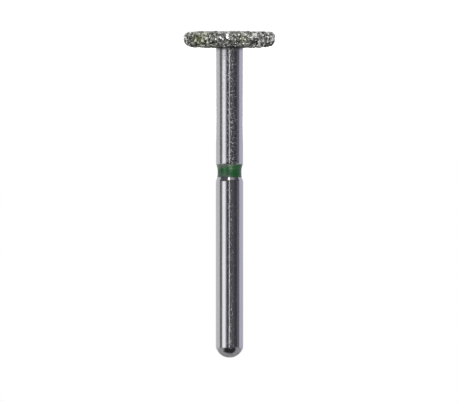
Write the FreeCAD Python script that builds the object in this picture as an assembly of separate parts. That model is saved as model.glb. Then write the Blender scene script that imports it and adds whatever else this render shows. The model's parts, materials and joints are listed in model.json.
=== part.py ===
import FreeCAD, Part
import math
import os
import random

from FreeCAD import Vector

# A wheel-shaped diamond dental bur, in millimetres. It is a steel blank turned in one piece, a plated
# coat of diamond grit round the blank's disc, and a ring of enamel in the groove of the shank.
# It stands on its wheel: the origin is the centre of the crown, at the level of the grain tops,
# and +Z runs up the axis to the tip of the shank.

# Sizes of the steel blank, from the crown up
disc_diameter = 5.00
disc_thickness = 0.57
crown_round = 0.18  # radius of the disc's edge on the crown's side
back_round = 0.32  # and on the neck's side
neck_fillet = 0.08
neck_length = 6.97  # from the disc to the groove
neck_relief = 0.01  # how far the neck is ground below the shank
groove_width = 1.01
groove_depth = 0.125  # from the shank's surface to the edge of the groove's floor
groove_flank = 0.28  # length along the axis of each sloping side
groove_hollow = 0.015  # how much deeper the floor is in its middle
shank_diameter = 1.60  # the friction grip that the chuck holds
shank_length = 10.31  # from the groove to the tip
tip_height = 0.61  # of the domed end

# Sizes of the diamond coat
coat_depth = 0.14  # from the steel to the grain tops
nickel_depth = 0.06  # the plated metal between the grains
grain_pitch = 0.23  # from one grain to the next
grain_drop = 0.025  # how much lower than the others a grain may sit
foot_height = 0.006  # how far the three grains it stands on rise above the rest of the crown
grain_shift = 0.03  # how far a corner of a grain may stray from its even place
collar_width = 0.06  # bare plating round the neck

# Sizes of the enamel ring
enamel_depth = 0.03
enamel_climb = 0.06  # how far along the axis it covers the flank on the shank's side

# Places that follow from the sizes
disc_radius = disc_diameter / 2
shank_radius = shank_diameter / 2
neck_radius = shank_radius - neck_relief
floor_radius = shank_radius - groove_depth
wheel_radius = disc_radius + coat_depth
wheel_thickness = disc_thickness + 2 * coat_depth
crown_corner = crown_round + coat_depth
back_corner = back_round + coat_depth
disc_crown = coat_depth
disc_back = disc_crown + disc_thickness
groove_start = disc_back + neck_length
groove_end = groove_start + groove_width
groove_middle = (groove_start + groove_end) / 2
tip = groove_end + shank_length
shank_end = tip - tip_height
valley_depth = coat_depth - nickel_depth
collar_radius = neck_radius + neck_fillet + collar_width


def at(radius, height):
    """A point of a half section."""
    return Vector(radius, 0, height)


def line(start, end):
    return Part.LineSegment(start, end).toShape()


def arc(start, middle, end):
    return Part.Arc(start, middle, end).toShape()


def turned(edges):
    """The solid that a closed half section gives when it is turned about the axis."""
    section = Part.Face(Part.Wire(edges))
    return section.revolve(Vector(0, 0, 0), Vector(0, 0, 1), 360)


def steel_blank():
    """The disc, neck, groove and shank, turned from one bar."""
    centre = at(0, disc_crown)
    crown_edge = at(disc_radius - crown_round, disc_crown)
    crown_bend = crown_round * (1 - math.sqrt(0.5))
    crown_middle = at(disc_radius - crown_bend, disc_crown + crown_bend)
    rim_low = at(disc_radius, disc_crown + crown_round)
    rim_high = at(disc_radius, disc_back - back_round)
    back_bend = back_round * (1 - math.sqrt(0.5))
    back_middle = at(disc_radius - back_bend, disc_back - back_bend)
    back_edge = at(disc_radius - back_round, disc_back)
    fillet_foot = at(neck_radius + neck_fillet, disc_back)
    fillet_bend = neck_fillet * (1 - math.sqrt(0.5))
    fillet_middle = at(neck_radius + fillet_bend, disc_back + fillet_bend)
    fillet_top = at(neck_radius, disc_back + neck_fillet)
    groove_lip = at(neck_radius, groove_start)
    floor_start = at(floor_radius, groove_start + groove_flank)
    floor_middle = at(floor_radius - groove_hollow, groove_middle)
    floor_end = at(floor_radius, groove_end - groove_flank)
    shank_lip = at(shank_radius, groove_end)
    dome_edge = at(shank_radius, shank_end)
    dome_radius = (shank_radius**2 + tip_height**2) / (2 * tip_height)
    dome_centre = tip - dome_radius
    half_way = math.atan2(shank_end - dome_centre, shank_radius) / 2 + math.pi / 4
    dome_middle = at(dome_radius * math.cos(half_way), dome_centre + dome_radius * math.sin(half_way))
    return turned(
        [
            line(centre, crown_edge),
            arc(crown_edge, crown_middle, rim_low),
            line(rim_low, rim_high),
            arc(rim_high, back_middle, back_edge),
            line(back_edge, fillet_foot),
            arc(fillet_foot, fillet_middle, fillet_top),
            line(fillet_top, groove_lip),
            line(groove_lip, floor_start),
            arc(floor_start, floor_middle, floor_end),
            line(floor_end, shank_lip),
            line(shank_lip, dome_edge),
            arc(dome_edge, dome_middle, at(0, tip)),
            line(at(0, tip), centre),
        ]
    )


def wheel_outline(distance):
    """Radius, height and outward direction on the outline of the grain tops, by distance from the axis."""
    crown_flat = wheel_radius - crown_corner
    if distance <= crown_flat:
        return distance, 0, Vector(0, 0, -1)
    distance -= crown_flat
    if distance <= crown_corner * math.pi / 2:
        turn = distance / crown_corner
        out = Vector(math.sin(turn), 0, -math.cos(turn))
        return crown_flat + crown_corner * out.x, crown_corner * (1 + out.z), out
    distance -= crown_corner * math.pi / 2
    rim = wheel_thickness - crown_corner - back_corner
    if distance <= rim:
        return wheel_radius, crown_corner + distance, Vector(1, 0, 0)
    distance -= rim
    back_flat = wheel_radius - back_corner
    if distance <= back_corner * math.pi / 2:
        turn = distance / back_corner
        out = Vector(math.cos(turn), 0, math.sin(turn))
        return back_flat + back_corner * out.x, wheel_thickness - back_corner * (1 - out.z), out
    distance -= back_corner * math.pi / 2
    return back_flat - distance, wheel_thickness, Vector(0, 0, 1)


def outline_length():
    """From the axis, over the crown, rim and back, to the collar of bare plating round the neck."""
    straight = 2 * wheel_radius + wheel_thickness - 2 * (crown_corner + back_corner) - collar_radius
    return straight + math.pi / 2 * (crown_corner + back_corner)


def grain_rings():
    """Rings of corners for the facets of the coat, from the crown's centre to the collar.

    Every third corner of a ring is the top of a grain, and the two between lie on the plating.
    The crown stands on its three tallest grains, which are spaced evenly round the edge of its flat.
    """
    spacing = grain_pitch / math.sqrt(3)
    rows = round(outline_length() / (spacing * math.sqrt(3) / 2))
    foot_row = int((wheel_radius - crown_corner) * rows / outline_length()) - 1
    chance = random.Random(5)
    rings = []
    for row in range(rows + 1):
        distance = outline_length() * row / rows
        shift = grain_shift if 0 < row < rows else 0
        around = 2 * math.pi * wheel_outline(distance)[0]
        corners = max(1, 3 * round(around / spacing / 3))
        first_grain = -row % 3
        feet = [first_grain + 3 * round(corners * third / 9) for third in range(3)]
        ring = []
        for corner in range(corners):
            radius, height, out = wheel_outline(distance + chance.uniform(-shift, shift))
            depth = valley_depth
            if corner % 3 == first_grain and row < rows:
                least_drop = foot_height if out.z < 0 else 0
                depth = max(least_drop, chance.uniform(-grain_drop, grain_drop))
            if row == foot_row and corner in feet:
                depth = 0
            slip = chance.uniform(-shift, shift) / spacing
            turn = 2 * math.pi * (corner + slip + row % 2 / 2) / corners
            reach = radius - out.x * depth
            ring.append(Vector(reach * math.cos(turn), reach * math.sin(turn), height - out.z * depth))
        rings.append(ring)
    return rings


def facets_between(inner, outer):
    """Triangles that join two rings, each taking the next corner of whichever ring is behind."""
    steps = [((j + 0.5) / len(outer), "outer") for j in range(len(outer))]
    if len(inner) > 1:
        steps += [((i + 0.5) / len(inner), "inner") for i in range(len(inner))]
    facets = []
    i = j = 0
    for _, side in sorted(steps):
        here, there = inner[i], outer[j]
        if side == "inner":
            i = (i + 1) % len(inner)
            facets.append((here, there, inner[i]))
        else:
            j = (j + 1) % len(outer)
            facets.append((here, there, outer[j]))
    return facets


def diamond_coat(blank):
    """Nickel plating that holds one layer of grains: a faceted skin, less the steel inside it."""
    rings = grain_rings()
    outlines = [f for pair in zip(rings, rings[1:]) for f in facets_between(*pair)]
    outlines.append(rings[-1])
    faces = [Part.Face(Part.makePolygon([*corners, corners[0]])) for corners in outlines]
    skin = Part.Solid(Part.Shell(faces))
    return skin.cut(blank)


def grit_code_ring():
    """Enamel on the floor of the groove. It covers the flank on the neck's side, and starts up the other."""
    neck_slope = (neck_radius - floor_radius) / groove_flank
    neck_side = at(neck_radius - enamel_depth, groove_start + enamel_depth / neck_slope)
    floor_start = at(floor_radius, groove_start + groove_flank)
    floor_middle = at(floor_radius - groove_hollow, groove_middle)
    floor_end = at(floor_radius, groove_end - groove_flank)
    shank_slope = groove_depth / groove_flank
    shank_side = floor_end + Vector(shank_slope * enamel_climb, 0, enamel_climb)
    out = Vector(enamel_depth, 0, 0)
    return turned(
        [
            line(neck_side, floor_start),
            arc(floor_start, floor_middle, floor_end),
            line(floor_end, shank_side),
            line(shank_side, shank_side + out),
            line(shank_side + out, floor_end + out),
            arc(floor_end + out, floor_middle + out, floor_start + out),
            line(floor_start + out, neck_side + out),
            line(neck_side + out, neck_side),
        ]
    )


blank = steel_blank()
pieces = {
    "steel_blank": blank,
    "diamond_coat": diamond_coat(blank),
    "grit_code_ring": grit_code_ring(),
}

os.makedirs("parts", exist_ok=True)
for name, piece in pieces.items():
    piece.exportStep(f"parts/{name}.step")
    print(f"{name}: {len(piece.Faces)} faces, {piece.Volume:.3f} mm3, valid {piece.isValid()}")
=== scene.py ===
import json
import math
import random

import bmesh
import bpy
from mathutils import Euler, Matrix, Vector


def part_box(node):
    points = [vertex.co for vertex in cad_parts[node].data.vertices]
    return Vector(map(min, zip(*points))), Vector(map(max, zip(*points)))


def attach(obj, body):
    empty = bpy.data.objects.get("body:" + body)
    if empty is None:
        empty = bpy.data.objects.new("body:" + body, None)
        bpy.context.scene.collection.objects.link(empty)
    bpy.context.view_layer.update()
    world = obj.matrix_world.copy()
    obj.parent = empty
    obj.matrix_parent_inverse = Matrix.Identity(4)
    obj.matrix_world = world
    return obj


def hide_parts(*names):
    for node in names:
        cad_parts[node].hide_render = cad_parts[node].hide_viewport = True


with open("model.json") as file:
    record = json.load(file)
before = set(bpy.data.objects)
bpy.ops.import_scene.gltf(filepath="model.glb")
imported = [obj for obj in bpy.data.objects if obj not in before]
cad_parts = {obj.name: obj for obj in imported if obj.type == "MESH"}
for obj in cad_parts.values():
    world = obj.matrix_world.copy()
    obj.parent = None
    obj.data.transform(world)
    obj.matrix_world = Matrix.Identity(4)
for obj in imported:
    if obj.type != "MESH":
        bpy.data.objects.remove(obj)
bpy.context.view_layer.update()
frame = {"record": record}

# Steel blank: one bar of stainless steel, turned to a thin disc, a plain neck, a shallow groove and a
# shank. The neck and shank are then ground and polished, and the domed end keeps its fine turned rings.
# The plating hides the disc, and the enamel lies in the groove.
mm = 0.001
blank_low, blank_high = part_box("steel_blank")
shank_mount = next(m for m in frame["record"]["mounts"] if m["name"] == "shank")
shank_radius = shank_mount["dims"]["r_mm"] * mm
disc_radius = blank_high.x
disc_thickness = 0.57 * mm
crown_round = 0.18 * mm
back_round = 0.32 * mm
neck_length = 6.97 * mm
neck_relief = 0.01 * mm  # how far the neck is ground below the shank
neck_fillet = 0.08 * mm
groove_width = 1.01 * mm
groove_flank = 0.28 * mm
groove_depth = 0.125 * mm
groove_hollow = 0.015 * mm
tip_height = 0.61 * mm
lip_round = 0.03 * mm

neck_radius = shank_radius - neck_relief
floor_radius = shank_radius - groove_depth
disc_crown = blank_low.z
disc_back = disc_crown + disc_thickness
groove_start = disc_back + neck_length
groove_end = groove_start + groove_width
groove_middle = (groove_start + groove_end) / 2
tip = blank_high.z
dome_start = tip - tip_height

turned_steps = 128
longest_edge = 0.12 * mm
merged_gap = 0.0005 * mm
crisp_angle = math.radians(13)

steel_colour = (0.615, 0.61, 0.645, 1)
turned_colour = (0.36, 0.36, 0.38, 1)
# painted shade and painted reflection of the wheel, on the foot of the neck
neck_shade_colour = (0.10, 0.10, 0.085, 1)
steel_roughness = 0.11
pit_size = 0.09 * mm
wave_length = 0.45 * mm
ring_pitch = 0.02 * mm
bump_height = 0.01 * mm
dome_blend = 0.04 * tip_height
neck_shade_low = disc_back + 0.22 * mm  # painted shade of the wheel darkens the foot of the neck up to here
neck_shade_high = disc_back + 0.36 * mm  # and the painted shade is gone from here on
neck_shade_waver = 0.06 * mm


def outline(corners, rounds=()):
    """A half section in the XZ plane: corners joined by straight edges, some of them rounded."""
    section = bmesh.new()
    points = [section.verts.new((radius, 0, height)) for radius, height in corners]
    for start, end in zip(points, points[1:]):
        section.edges.new((start, end))
    for corner, offset, segments in rounds:
        bmesh.ops.bevel(
            section,
            geom=[points[corner]],
            offset=offset,
            segments=segments,
            profile=0.5,
            affect="VERTICES",
            material=-1,
        )
    return section


def turned(section, name):
    """The piece that a half section gives when it is turned about the axis."""
    for edge in [e for e in section.edges if e.calc_length() > longest_edge]:
        bmesh.ops.subdivide_edges(section, edges=[edge], cuts=int(edge.calc_length() / longest_edge))
    bmesh.ops.spin(
        section,
        geom=section.verts[:] + section.edges[:],
        cent=(0, 0, 0),
        axis=(0, 0, 1),
        angle=math.tau,
        steps=turned_steps,
        use_merge=True,
    )
    bmesh.ops.remove_doubles(section, verts=section.verts, dist=merged_gap)
    bmesh.ops.recalc_face_normals(section, faces=section.faces)
    return finished(section, name, smooth=True)


def finished(shape, name, smooth):
    """A mesh object of the shape. A smooth one keeps its crisp edges."""
    for face in shape.faces:
        face.smooth = smooth
    for edge in shape.edges:
        edge.smooth = edge.calc_face_angle(0) < crisp_angle
    mesh = bpy.data.meshes.new(name)
    shape.to_mesh(mesh)
    shape.free()
    piece = bpy.data.objects.new(name, mesh)
    bpy.context.scene.collection.objects.link(piece)
    return piece


class Shade:
    """A socket of a shader. Arithmetic on it adds Math nodes, and node() adds any other node."""

    def __init__(self, tree, socket=None):
        self.tree = tree
        self.socket = socket

    def node(self, kind, settings=None, inputs=None, output=0):
        node = self.tree.nodes.new(kind)
        for name, value in (settings or {}).items():
            if name == "stops":
                for extra in range(len(value) - 2):
                    node.color_ramp.elements.new(0.5)
                for stop, (place, colour) in zip(node.color_ramp.elements, value):
                    stop.position = place
                    stop.color = colour
            else:
                setattr(node, name, value)
        for name, value in (inputs or {}).items():
            if isinstance(value, Shade):
                self.tree.links.new(value.socket, node.inputs[name])
            else:
                node.inputs[name].default_value = value
        return Shade(self.tree, node.outputs[output] if node.outputs else None)

    def maths(self, operation, first, second=0.0):
        return self.node("ShaderNodeMath", {"operation": operation}, {0: first, 1: second})

    def __add__(self, other):
        return self.maths("ADD", self, other)

    def __radd__(self, other):
        return self.maths("ADD", other, self)

    def __sub__(self, other):
        return self.maths("SUBTRACT", self, other)

    def __rsub__(self, other):
        return self.maths("SUBTRACT", other, self)

    def __mul__(self, other):
        return self.maths("MULTIPLY", self, other)

    def __rmul__(self, other):
        return self.maths("MULTIPLY", other, self)

    def clamped(self, low, high):
        """0 below low and 1 above high, with a straight rise between them."""
        limits = {"Value": self, "From Min": low, "From Max": high}
        return self.node("ShaderNodeMapRange", {"clamp": True}, limits)

    def mixed(self, colour_0, colour_1):
        """colour_0 where this is 0, and colour_1 where it is 1."""
        return self.node("ShaderNodeMix", {"data_type": "RGBA"}, {0: self, 6: colour_0, 7: colour_1}, 2)


def new_finish(name):
    """An empty material, and its nodes' start."""
    finish = bpy.data.materials.new(name)
    finish.use_nodes = True
    finish.node_tree.nodes.clear()
    return finish, Shade(finish.node_tree)


def place_on_object(shade, scale=(1, 1, 1), location=(0, 0, 0)):
    """Object coordinates, stretched and shifted."""
    place = shade.node("ShaderNodeTexCoord", output="Object")
    return shade.node("ShaderNodeMapping", {}, {"Vector": place, "Scale": scale, "Location": location})


def along(shade, axis):
    """One of the object coordinates."""
    return shade.node("ShaderNodeSeparateXYZ", {}, {0: place_on_object(shade)}, axis)


def blotches(shade, size, scale=(1, 1, 1), detail=2.0, location=(0, 0, 0)):
    """Noise whose blotches are about as wide as size."""
    inputs = {"Vector": place_on_object(shade, scale, location), "Scale": 1 / size, "Detail": detail}
    return shade.node("ShaderNodeTexNoise", {"normalize": True}, inputs)


def steel_finish():
    """Ground steel with fine rings, slow waves and short curly pits that are rough but not deep.

    The pits are fainter on the shank than on the neck. The domed end has coarser rings and no pits, and
    the foot of the neck is rougher and darker, in painted shade and painted reflection of the wheel.
    """
    finish, shade = new_finish("ground_stainless_steel")
    height = along(shade, "Z")
    on_dome = height.clamped(dome_start, dome_start + dome_blend)
    waves = blotches(shade, wave_length, (1, 1, 0.7))
    rings = blotches(shade, ring_pitch, (0.02, 0.02, 1), 3)
    curls = shade.maths("ABSOLUTE", blotches(shade, pit_size) - 0.5)
    scatter = blotches(shade, 1.7 * pit_size, detail=1, location=(3, 0, 0))
    ground = height.clamped(groove_start, groove_end)
    spread = (scatter - 0.05 * ground).clamped(0.44, 0.54) * (1 - on_dome)
    pits = (1 - curls.clamped(0.0, 0.05)) * spread * (1 - 0.5 * ground)
    smears = blotches(shade, 3 * pit_size, (0.5, 0.5, 1), 4).clamped(0.45, 0.75)
    # painted shade and painted reflection of the wheel: the foot of the neck is darkened just under it
    neck_shade_line = height + neck_shade_waver * waves
    painted_neck_shade = 1 - neck_shade_line.clamped(neck_shade_low, neck_shade_high)
    turning = on_dome * blotches(shade, 3 * ring_pitch, (0.3, 0.3, 1), 3).clamped(0.35, 0.65)
    roughness = steel_roughness + 0.03 * smears + 0.27 * pits + 0.07 * on_dome + 0.2 * painted_neck_shade
    bumps = 0.16 * waves + 0.03 * rings + 0.2 * turning
    normal = shade.node("ShaderNodeBump", {}, {"Height": bumps, "Distance": bump_height, "Strength": 1.0})
    colour = (0.7 * turning).mixed(steel_colour, turned_colour)
    colour = painted_neck_shade.mixed(colour, neck_shade_colour)
    metal = {"Base Color": colour, "Metallic": 1.0, "Roughness": roughness, "Normal": normal}
    surface = shade.node("ShaderNodeBsdfPrincipled", {}, metal)
    shade.node("ShaderNodeOutputMaterial", {}, {"Surface": surface})
    return finish


dome_radius = (shank_radius**2 + tip_height**2) / (2 * tip_height)
dome_centre = tip - dome_radius
steel_corners = [
    (0, disc_crown),
    (disc_radius, disc_crown),
    (disc_radius, disc_back),
    (neck_radius, disc_back),
    (neck_radius, groove_start),
    (floor_radius, groove_start + groove_flank),
    (floor_radius - groove_hollow, groove_middle),
    (floor_radius, groove_end - groove_flank),
    (shank_radius, groove_end),
    (shank_radius, dome_start),
]
steel_rounds = [
    (1, crown_round, 8),
    (2, back_round, 8),
    (3, neck_fillet, 8),
    (5, 2 * lip_round, 4),
    (6, 4 * lip_round, 4),
    (7, 2 * lip_round, 4),
    (8, 3 * lip_round, 5),
]
steel_section = outline(steel_corners, steel_rounds)
dome_edge = max(steel_section.verts, key=lambda corner: corner.co.z)
bmesh.ops.spin(
    steel_section,
    geom=[dome_edge],
    cent=(0, 0, dome_centre),
    axis=(0, -1, 0),
    angle=math.pi / 2 - math.atan2(dome_start - dome_centre, shank_radius),
    steps=16,
)
blank = turned(steel_section, "turned_blank")
blank.data.materials.append(steel_finish())
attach(blank, "root")
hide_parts("steel_blank")

# Nickel plating: a skin grown on the disc in a bath, which holds the grains by their lower halves. It
# is dull, and lumpy where it creeps up the grains. It ends in a bare collar round the neck.
coat_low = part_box("diamond_coat")[0]
coat_depth = disc_crown - coat_low.z
nickel_depth = 0.06 * mm
collar_width = 0.06 * mm
collar_round = 0.03 * mm
collar_radius = neck_radius + neck_fillet + collar_width
nickel_crown = disc_crown - nickel_depth
nickel_back = disc_back + nickel_depth
nickel_radius = disc_radius + nickel_depth
lump_size = 0.07 * mm
lump_height = 0.02 * mm
stain_size = 0.5 * mm
# painted shade: the nickel's dark grey stands partly for the shade in the gaps between the grains
nickel_and_gap_shade = (0.12, 0.125, 0.105, 1)
stained_nickel_and_gap_shade = (0.05, 0.053, 0.045, 1)


def nickel_finish():
    """Matt nickel, its dark grey partly painted shade of the gaps between the grains, with lumps as wide
    as half a grain and wider stains, some darker than others.
    """
    finish, shade = new_finish("matt_nickel")
    lumps = blotches(shade, lump_size, detail=3)
    bright = blotches(shade, stain_size, detail=3).clamped(0.35, 0.7)
    bump = {"Height": lumps, "Distance": lump_height, "Strength": 1.0}
    metal = {
        "Base Color": bright.mixed(stained_nickel_and_gap_shade, nickel_and_gap_shade),
        "Metallic": 0.7,
        "Roughness": 0.42 + 0.2 * bright,
        "Normal": shade.node("ShaderNodeBump", {}, bump),
    }
    surface = shade.node("ShaderNodeBsdfPrincipled", {}, metal)
    shade.node("ShaderNodeOutputMaterial", {}, {"Surface": surface})
    return finish


nickel_corners = [
    (0, nickel_crown),
    (nickel_radius, nickel_crown),
    (nickel_radius, nickel_back),
    (collar_radius, nickel_back),
    (neck_radius + neck_fillet, disc_back),
    (disc_radius, disc_back),
    (disc_radius, disc_crown),
    (0, disc_crown),
]
nickel_rounds = [
    (1, crown_round + nickel_depth, 8),
    (2, back_round + nickel_depth, 8),
    (3, collar_round, 3),
    (5, back_round, 8),
    (6, crown_round, 8),
]
plating = turned(outline(nickel_corners, nickel_rounds), "nickel_plating")
plating.data.materials.append(nickel_finish())
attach(plating, "root")
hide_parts("diamond_coat")

# Diamond grains: one layer of coarse crystals, about 0.13 mm across, that lie as they fell and stand
# half out of the nickel. Some are whole blocks with cut corners and some are broken splinters. Light
# comes back out of some facets and not of others, and a few patches are of a yellower batch.
wheel_radius = disc_radius + coat_depth
wheel_thickness = disc_back + coat_depth
crown_corner = crown_round + coat_depth
back_corner = back_round + coat_depth
grain_size = 0.136 * mm
grain_gap = 0.089 * mm  # the least distance between the centres of two grains
grain_sink = 0.07 * mm  # from the grain tops down to the layer of their centres
grain_drop = 0.06 * mm  # how much lower than the others a grain may sit
grain_rise = 0.065 * mm  # how much higher one may stand, except on the crown
grain_tries = 90000
block_kinds = 6
splinter_kinds = 8
flat_share = 0.75  # of the grains lie with one facet outwards
facet_tilt = 0.22  # radians that such a facet may lean
cloud_size = 0.05 * mm
yellow_patches = [  # the centre of each, and how far it reaches
    (Vector((1.85, -1.85, 0.45)) * mm, 1.1 * mm),
    (Vector((-0.75, -2.5, 0.45)) * mm, 0.42 * mm),
]


def wheel_outline(distance):
    """Radius, height and outward direction on the outline of the grain tops, by distance from the axis."""
    crown_flat = wheel_radius - crown_corner
    if distance <= crown_flat:
        return distance, 0, Vector((0, 0, -1))
    distance -= crown_flat
    if distance <= crown_corner * math.pi / 2:
        turn = distance / crown_corner
        out = Vector((math.sin(turn), 0, -math.cos(turn)))
        return crown_flat + crown_corner * out.x, crown_corner * (1 + out.z), out
    distance -= crown_corner * math.pi / 2
    rim = wheel_thickness - crown_corner - back_corner
    if distance <= rim:
        return wheel_radius, crown_corner + distance, Vector((1, 0, 0))
    distance -= rim
    back_flat = wheel_radius - back_corner
    if distance <= back_corner * math.pi / 2:
        turn = distance / back_corner
        out = Vector((math.cos(turn), 0, math.sin(turn)))
        return back_flat + back_corner * out.x, wheel_thickness - back_corner * (1 - out.z), out
    distance -= back_corner * math.pi / 2
    return back_flat - distance, wheel_thickness, Vector((0, 0, 1))


def outline_length():
    """From the axis, over the crown, rim and back, to the collar."""
    straight = 2 * wheel_radius + wheel_thickness - 2 * (crown_corner + back_corner) - collar_radius
    return straight + math.pi / 2 * (crown_corner + back_corner)


def cut_off(crystal, direction, depth):
    """Takes off what lies further than depth along a direction, and closes the cut."""
    everything = crystal.verts[:] + crystal.edges[:] + crystal.faces[:]
    place = direction.normalized() * depth
    cut = bmesh.ops.bisect_plane(
        crystal, geom=everything, plane_co=place, plane_no=direction, clear_outer=True
    )
    edges = [part for part in cut["geom_cut"] if isinstance(part, bmesh.types.BMEdge)]
    if edges:
        bmesh.ops.holes_fill(crystal, edges=edges)


def crystal_kinds(chance):
    """Meshes of unit size for the grains: blocks with their corners cut, and splinters cut at random."""
    kinds = []
    for kind in range(block_kinds + splinter_kinds):
        crystal = bmesh.new()
        bmesh.ops.create_cube(crystal, size=1)
        if kind < block_kinds:
            for x in (-1, 1):
                for y in (-1, 1):
                    for z in (-1, 1):
                        cut_off(crystal, Vector((x, y, z)), chance.uniform(0.42, 0.62))
            stretch = Vector([chance.uniform(0.85, 1.1) for _ in range(3)])
        else:
            for _ in range(7):
                direction = Vector([chance.gauss(0, 1) for _ in range(3)])
                cut_off(crystal, direction, chance.uniform(0.28, 0.48))
            stretch = Vector([chance.uniform(0.8, 1.35) for _ in range(3)])
        bmesh.ops.scale(crystal, vec=stretch, verts=crystal.verts)
        bmesh.ops.recalc_face_normals(crystal, faces=crystal.faces)
        mesh = bpy.data.meshes.new("crystal")
        crystal.to_mesh(mesh)
        crystal.free()
        kinds.append(mesh)
    return kinds


def grain_places(chance):
    """Points on the outline with their outward direction, none nearer to another than the gap."""
    cells = {}
    places = []
    for _ in range(grain_tries):
        radius, height, out = wheel_outline(chance.uniform(0, outline_length()))
        if chance.uniform(0, wheel_radius) > radius:
            continue
        turn = Matrix.Rotation(chance.uniform(0, math.tau), 3, "Z")
        top = turn @ Vector((radius, 0, height))
        out = turn @ out
        middle = top - grain_sink * out
        key = tuple(int(part // grain_gap) for part in middle)
        near = (
            other
            for dx in (-1, 0, 1)
            for dy in (-1, 0, 1)
            for dz in (-1, 0, 1)
            for other in cells.get((key[0] + dx, key[1] + dy, key[2] + dz), ())
        )
        if all((other - middle).length > grain_gap for other in near):
            cells.setdefault(key, []).append(middle)
            places.append((top, out))
    return places


def grain_finish():
    """Grey-green diamond: glossy facets, some dark, some pale, and some that flash like metal."""
    finish, shade = new_finish("diamond_grit")
    tone = shade.node("ShaderNodeAttribute", {"attribute_name": "tone"}, output="Fac")
    flash = shade.node("ShaderNodeAttribute", {"attribute_name": "flash"}, output="Fac")
    olive = shade.node("ShaderNodeAttribute", {"attribute_name": "olive"}, output="Fac")
    clouds = blotches(shade, cloud_size, detail=2)
    shown = (tone + 0.3 * clouds - 0.15).clamped(0, 1)
    greys = [(0, (0.015, 0.016, 0.014, 1)), (0.5, (0.10, 0.103, 0.092, 1)), (1, (0.80, 0.80, 0.77, 1))]
    olives = [(0, (0.015, 0.018, 0.006, 1)), (0.5, (0.11, 0.125, 0.04, 1)), (1, (0.50, 0.53, 0.26, 1))]
    grey = shade.node("ShaderNodeValToRGB", {"stops": greys}, {"Fac": shown})
    yellow = shade.node("ShaderNodeValToRGB", {"stops": olives}, {"Fac": shown})
    crystal = {
        "Base Color": olive.mixed(grey, yellow),
        "Metallic": flash,
        "Roughness": 0.08 + 0.24 * clouds,
        "IOR": 2.4,
    }
    surface = shade.node("ShaderNodeBsdfPrincipled", {}, crystal)
    shade.node("ShaderNodeOutputMaterial", {}, {"Surface": surface})
    return finish


grit_chance = random.Random(11)
kinds = crystal_kinds(grit_chance)
grit = bmesh.new()
tones = []
flashes = []
olives = []
for top, out in grain_places(grit_chance):
    kind = grit_chance.choice(kinds)
    size = grain_size * grit_chance.uniform(0.7, 1.2)
    turn = Euler([grit_chance.uniform(0, math.tau) for _ in range(3)]).to_matrix()
    if grit_chance.random() < flat_share:
        lean = Vector([grit_chance.gauss(0, facet_tilt) for _ in range(3)])
        facet = turn @ max(kind.polygons, key=lambda side: side.area * grit_chance.random()).normal
        turn = facet.rotation_difference(out + lean).to_matrix() @ turn
    height = size * max((turn @ corner.co).dot(out) for corner in kind.vertices)
    rise = 0 if out.z < -0.95 else grain_rise
    place = Matrix.Translation(top + out * (grit_chance.uniform(-grain_drop, rise) - height))
    start = len(grit.verts)
    grit.from_mesh(kind)
    grit.verts.ensure_lookup_table()
    matrix = place @ turn.to_4x4() @ Matrix.Scale(size, 4)
    lowest = min((matrix @ corner.co).z for corner in kind.vertices)
    matrix.translation.z -= min(0, lowest)
    bmesh.ops.transform(grit, matrix=matrix, verts=grit.verts[start:])
    crystal_tone = grit_chance.random()
    crystal_flash = grit_chance.random() ** 2
    inside = max(1 - (top - centre).length / width for centre, width in yellow_patches)
    yellow = grit_chance.uniform(0.4, 1) * max(0, inside)
    for _ in kind.polygons:
        tones.append(1.3 * (0.65 * crystal_tone + 0.35 * grit_chance.random()) - 0.15)
        flashes.append(0.6 * crystal_flash + 0.4 * grit_chance.random() ** 2)
        olives.append(yellow)
grains = finished(grit, "diamond_grains", smooth=False)
for name, values in (("tone", tones), ("flash", flashes), ("olive", olives)):
    grains.data.attributes.new(name, "FLOAT", "FACE").data.foreach_set("value", values)
for kind in kinds:
    bpy.data.meshes.remove(kind)
grains.data.materials.append(grain_finish())
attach(grains, "root")
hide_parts("diamond_coat")

# Grit code ring: green enamel run into the groove, which marks coarse grit. It is thin and a little
# clear, so the steel shows through where it thins out, at its edge on the neck.
ring_low, ring_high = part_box("grit_code_ring")
enamel_depth = 0.03 * mm
enamel_round = 0.02 * mm
enamel_lip = neck_radius - 0.005 * mm  # where its thin edge ends, just below the neck's surface
deep_green = (0.004, 0.055, 0.011, 1)
worn_green = (0.048, 0.064, 0.060, 1)
thin_green = (0.12, 0.145, 0.12, 1)
run_length = 0.35 * mm


def enamel_finish():
    """Glossy green over steel: deep where it is thick, and paler and greyer towards its edges."""
    finish, shade = new_finish("green_enamel")
    height = along(shade, "Z")
    across = along(shade, "X")
    runs = blotches(shade, run_length)
    reach = height + 0.12 * mm * runs - 0.2 * across
    thin = 1 - reach.clamped(ring_low.z - 0.02 * mm, ring_low.z + 0.22 * mm)
    worn = (across + 0.5 * mm * runs).clamped(-0.1 * mm, 0.6 * mm)
    worn = worn * reach.clamped(ring_high.z - 0.36 * mm, ring_high.z + 0.04 * mm)
    colour = thin.mixed(worn.mixed(deep_green, worn_green), thin_green)
    bump = {"Height": runs, "Distance": 0.005 * mm, "Strength": 1.0}
    enamel = {
        "Base Color": colour,
        "Metallic": 0.1 + 0.5 * thin,
        "Roughness": 0.35,
        "Specular IOR Level": 0.3,
        "Coat Weight": 0.5,
        "Coat Roughness": 0.25,
        "Normal": shade.node("ShaderNodeBump", {}, bump),
    }
    surface = shade.node("ShaderNodeBsdfPrincipled", {}, enamel)
    shade.node("ShaderNodeOutputMaterial", {}, {"Surface": surface})
    return finish


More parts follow.
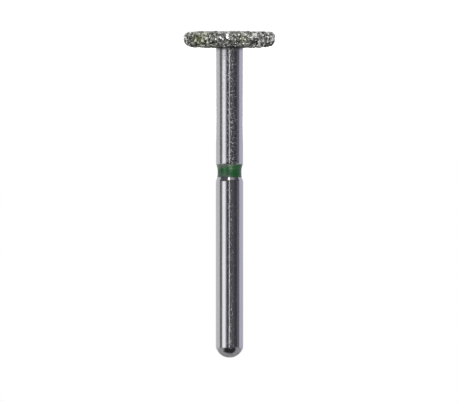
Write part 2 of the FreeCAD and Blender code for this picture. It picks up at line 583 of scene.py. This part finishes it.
climb = ring_high.z - (groove_end - groove_flank)
shank_side = floor_radius + climb * groove_depth / groove_flank
enamel_corners = [
    (enamel_lip, groove_start),
    (floor_radius, groove_start + groove_flank),
    (floor_radius - groove_hollow, groove_middle),
    (floor_radius, groove_end - groove_flank),
    (shank_side, ring_high.z),
    (shank_side + enamel_depth, ring_high.z),
    (floor_radius + enamel_depth, groove_end - groove_flank),
    (floor_radius - groove_hollow + enamel_depth, groove_middle),
    (floor_radius + enamel_depth, groove_start + groove_flank),
    (enamel_lip, groove_start),
]
enamel_rounds = [
    (5, enamel_round, 3),
    (6, 3 * enamel_round, 4),
    (7, 6 * enamel_round, 4),
    (8, 3 * enamel_round, 4),
]
enamel = turned(outline(enamel_corners, enamel_rounds), "enamel_ring")
enamel.data.materials.append(enamel_finish())
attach(enamel, "root")
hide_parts("grit_code_ring")

# Studio: a white floor and a white room beyond it, with lamps, and with panels that show only in the
# bur's reflections. Those that start at the floor run over it to the bur, and a flat dark cone hangs
# over the wheel's back. The bur stands on its wheel, and the camera is held upside down.
photo_width = 458
axis_x = 229.5  # pixel across the photograph where the axis of the bur stands
pixels_per_mm = 17.147
camera_distance = 300 * mm
camera_height = 9.862 * mm
tent_radius = 500 * mm
inner_tent_radius = 490 * mm
panel_lift = 0.05 * mm
panel_foot = 3.4 * mm  # from the axis to the near edge of the panels on the floor
panel_step = 6  # degrees between the edges of a panel's faces
lamp_distance = 480 * mm
lamp_width = 60 * mm
stage_reach = 40  # metres, to the edge of the floor
floor_tone = 0.85
floor_glow = 0.85
stray_light = 0.18
scene = bpy.context.scene


def seen_directly(shade):
    """1 for what the camera sees directly, mirrored in metal or through glass, and 0 for stray light."""
    kinds_of_ray = ("Is Camera Ray", "Is Glossy Ray", "Is Transmission Ray")
    camera, mirrored, through = (shade.node("ShaderNodeLightPath", output=ray) for ray in kinds_of_ray)
    return (camera + mirrored + through).clamped(0, 1)


def floor_finish():
    """Matt white that keeps the bur's shadow, with a glow that is seen and mirrored but lights nothing."""
    finish, shade = new_finish("white_floor")
    matt = shade.node("ShaderNodeBsdfDiffuse", {}, {"Color": (floor_tone, floor_tone, floor_tone, 1)})
    glow = {"Color": (1, 1, 1, 1), "Strength": floor_glow * seen_directly(shade)}
    lamp = shade.node("ShaderNodeEmission", {}, glow)
    surface = shade.node("ShaderNodeAddShader", {}, {0: matt, 1: lamp})
    shade.node("ShaderNodeOutputMaterial", {}, {"Surface": surface})
    return finish


floor_shape = bmesh.new()
bmesh.ops.create_circle(floor_shape, cap_ends=True, segments=64, radius=stage_reach)
floor = finished(floor_shape, "floor", smooth=False)
floor.data.materials.append(floor_finish())

scene.world = bpy.data.worlds.new("white_room")
scene.world.use_nodes = True
scene.world.node_tree.nodes.clear()
room = Shade(scene.world.node_tree)
seen = seen_directly(room)
sky_light = {"Color": (1, 1, 1, 1), "Strength": stray_light + (1 - stray_light) * seen}
sky = room.node("ShaderNodeBackground", {}, sky_light)
room.node("ShaderNodeOutputWorld", {}, {"Surface": sky})


def mirrored_only(panel, name, colour, strength):
    """Makes a panel glow, for reflections only."""
    piece = finished(panel, name, smooth=False)
    finish, shade = new_finish(name)
    surface = shade.node("ShaderNodeEmission", {}, {"Color": (*colour, 1), "Strength": strength})
    shade.node("ShaderNodeOutputMaterial", {}, {"Surface": surface})
    piece.data.materials.append(finish)
    piece.visible_camera = False
    piece.visible_diffuse = False
    piece.visible_shadow = False


def swept(panel, azimuths, steps):
    """Turns an edge that lies towards the camera through a range of degrees round the bur."""
    first = Matrix.Rotation(math.radians(azimuths[0]), 3, "Z")
    bmesh.ops.rotate(panel, cent=(0, 0, 0), matrix=first, verts=panel.verts)
    bmesh.ops.spin(
        panel,
        geom=panel.verts[:] + panel.edges[:],
        cent=(0, 0, 0),
        axis=(0, 0, 1),
        angle=math.radians(azimuths[1] - azimuths[0]),
        steps=steps,
    )


def steps_over(azimuths):
    """How many faces a panel has round the bur."""
    return max(2, round((azimuths[1] - azimuths[0]) / panel_step))


def card(name, azimuths, elevations, strength, colour=(1, 1, 1), radius=tent_radius):
    """A panel of the tent, by degrees round from the camera towards the left and up from level."""
    panel = bmesh.new()
    low, high = (math.radians(angle) for angle in elevations)
    foot = panel.verts.new(Matrix.Rotation(-low, 3, "X") @ Vector((0, -radius, 0)))
    bmesh.ops.spin(panel, geom=[foot], cent=(0, 0, 0), axis=(-1, 0, 0), angle=high - low, steps=6)
    if low == 0:
        foot.co.z = panel_lift
        panel.edges.new((foot, panel.verts.new((0, -panel_foot, panel_lift))))
    swept(panel, azimuths, steps_over(azimuths))
    mirrored_only(panel, name, colour, strength)


def floor_card(name, azimuths, radii, strength):
    """A panel on the floor near the bur, for what faces down."""
    panel = bmesh.new()
    near = panel.verts.new((0, -radii[0], 2 * panel_lift))
    panel.edges.new((near, panel.verts.new((0, -radii[1], 2 * panel_lift))))
    swept(panel, azimuths, steps_over(azimuths))
    mirrored_only(panel, name, (1, 1, 1), strength)


violet_grey = (1, 0.98, 1.08)
lavender = (0.93, 0.93, 1.08)
card("lens_strip", (0.2, 2.8), (0, 9), 2.0)
card("left_dark_card", (2.8, 25.5), (0, 25), 0.078)
card("softbox_fringe", (25.5, 34.4), (0, 26), 0.46)
card("softbox", (34.4, 62.5), (0, 27), 1.25)
card("left_near_gap", (62.5, 76), (0, 25), 0.25)
card("left_gap", (76, 90), (0, 25), 0.17)
card("left_wall", (90, 178), (0, 25), 0.74)
card("right_near_card", (-40, 0.2), (0, 25), 0.095, violet_grey)
card("right_dark_card", (-66, -40), (0, 25), 0.06, violet_grey)
card("right_grey_card", (-91, -66), (0, 25), 0.16, violet_grey)
card("right_wall", (-178, -91), (0, 25), 0.67, lavender)
card("low_visor", (-52, 42), (27, 34), 0.03)
card("left_low_brow", (42, 83), (25, 34), 0.42)
card("right_low_brow", (-83, -52), (25, 34), 0.42)
card("high_visor", (-66, 56), (34, 48), 0.03)
card("left_high_brow", (56, 83), (34, 48), 0.45)
card("right_high_brow", (-83, -66), (34, 48), 0.45)
card("dark_ceiling", (-83, 83), (48, 84), 0.03)
card("front_ceiling", (-83, 83), (84, 90), 0.42)
card("left_ceiling", (83, 130), (25, 90), 0.50)
card("rear_ceiling", (130, 235), (25, 90), 0.39)
card("right_ceiling", (235, 277), (25, 90), 0.46)
card("sparkle_card", (-24, 4), (12, 26), 8.5, radius=inner_tent_radius)
card("grey_card", (-83, -26), (12, 26), 0.8, radius=inner_tent_radius)

flank_radii = (7.6 * mm, 11.8 * mm)  # what the groove's flank mirrors in front
side_radii = (7.6 * mm, 26 * mm)  # and towards its sides
glint_radii = (3.6 * mm, 6.9 * mm)
floor_card("groove_left_shade", (15, 98), side_radii, 0.10)
floor_card("groove_glint", (-3, 15), flank_radii, 2.2)
floor_card("groove_half_tone", (-42, -3), flank_radii, 0.38)
floor_card("groove_dim_tone", (-62, -42), flank_radii, 0.22)
floor_card("groove_right_shade", (-98, -62), side_radii, 0.08)
floor_card("wheel_glint", (-20, 14), glint_radii, 9.0)

shade_height = disc_back + 0.34 * mm
shade_reach = 3.3 * mm
shade_slope = (camera_height - shade_height) / camera_distance
shade_edge = shade_height - (shade_reach - shank_radius) * shade_slope
shade_panel = bmesh.new()
inner = shade_panel.verts.new((0, -1.02 * shank_radius, shade_height))
shade_panel.edges.new((inner, shade_panel.verts.new((0, -shade_reach, shade_edge))))
swept(shade_panel, (0, 360), 64)
mirrored_only(shade_panel, "wheel_shade", (1, 1, 1), 0.06)


def lamp(name, azimuth, elevation, level):
    """A square lamp, by degrees as above. Level is how bright it alone makes white paper that faces it."""
    light = bpy.data.lights.new(name, "AREA")
    light.size = lamp_width
    light.energy = level * math.pi**2 * lamp_distance**2
    lit = bpy.data.objects.new(name, light)
    turn = Euler((math.radians(-elevation), 0, math.radians(azimuth))).to_matrix()
    lit.location = turn @ Vector((0, -lamp_distance, 0))
    lit.rotation_euler = (-lit.location).to_track_quat("-Z", "Y").to_euler()
    lit.visible_camera = False
    lit.visible_glossy = False
    scene.collection.objects.link(lit)


lamp("front_lamp", 2, 3, 1.08)
lamp("left_lamp", 50, 8, 0.06)
lamp("right_lamp", -50, 8, 0.16)
lamp("far_left_lamp", 165, 30, 0.50)
lamp("far_right_lamp", -165, 30, 0.50)

camera = bpy.data.objects.new("camera", bpy.data.cameras.new("camera"))
scene.collection.objects.link(camera)
camera.data.sensor_width = 36
camera.data.lens = camera.data.sensor_width * camera_distance / (photo_width / pixels_per_mm * mm)
camera.data.clip_start = 10 * mm
camera.data.clip_end = 100
across = (axis_x - photo_width / 2) / pixels_per_mm * mm
upside_down = Matrix.Rotation(math.pi, 4, "Y") @ Matrix.Rotation(math.pi / 2, 4, "X")
camera.matrix_world = Matrix.Translation((across, -camera_distance, camera_height)) @ upside_down
scene.camera = camera
scene.view_settings.view_transform = "Standard"
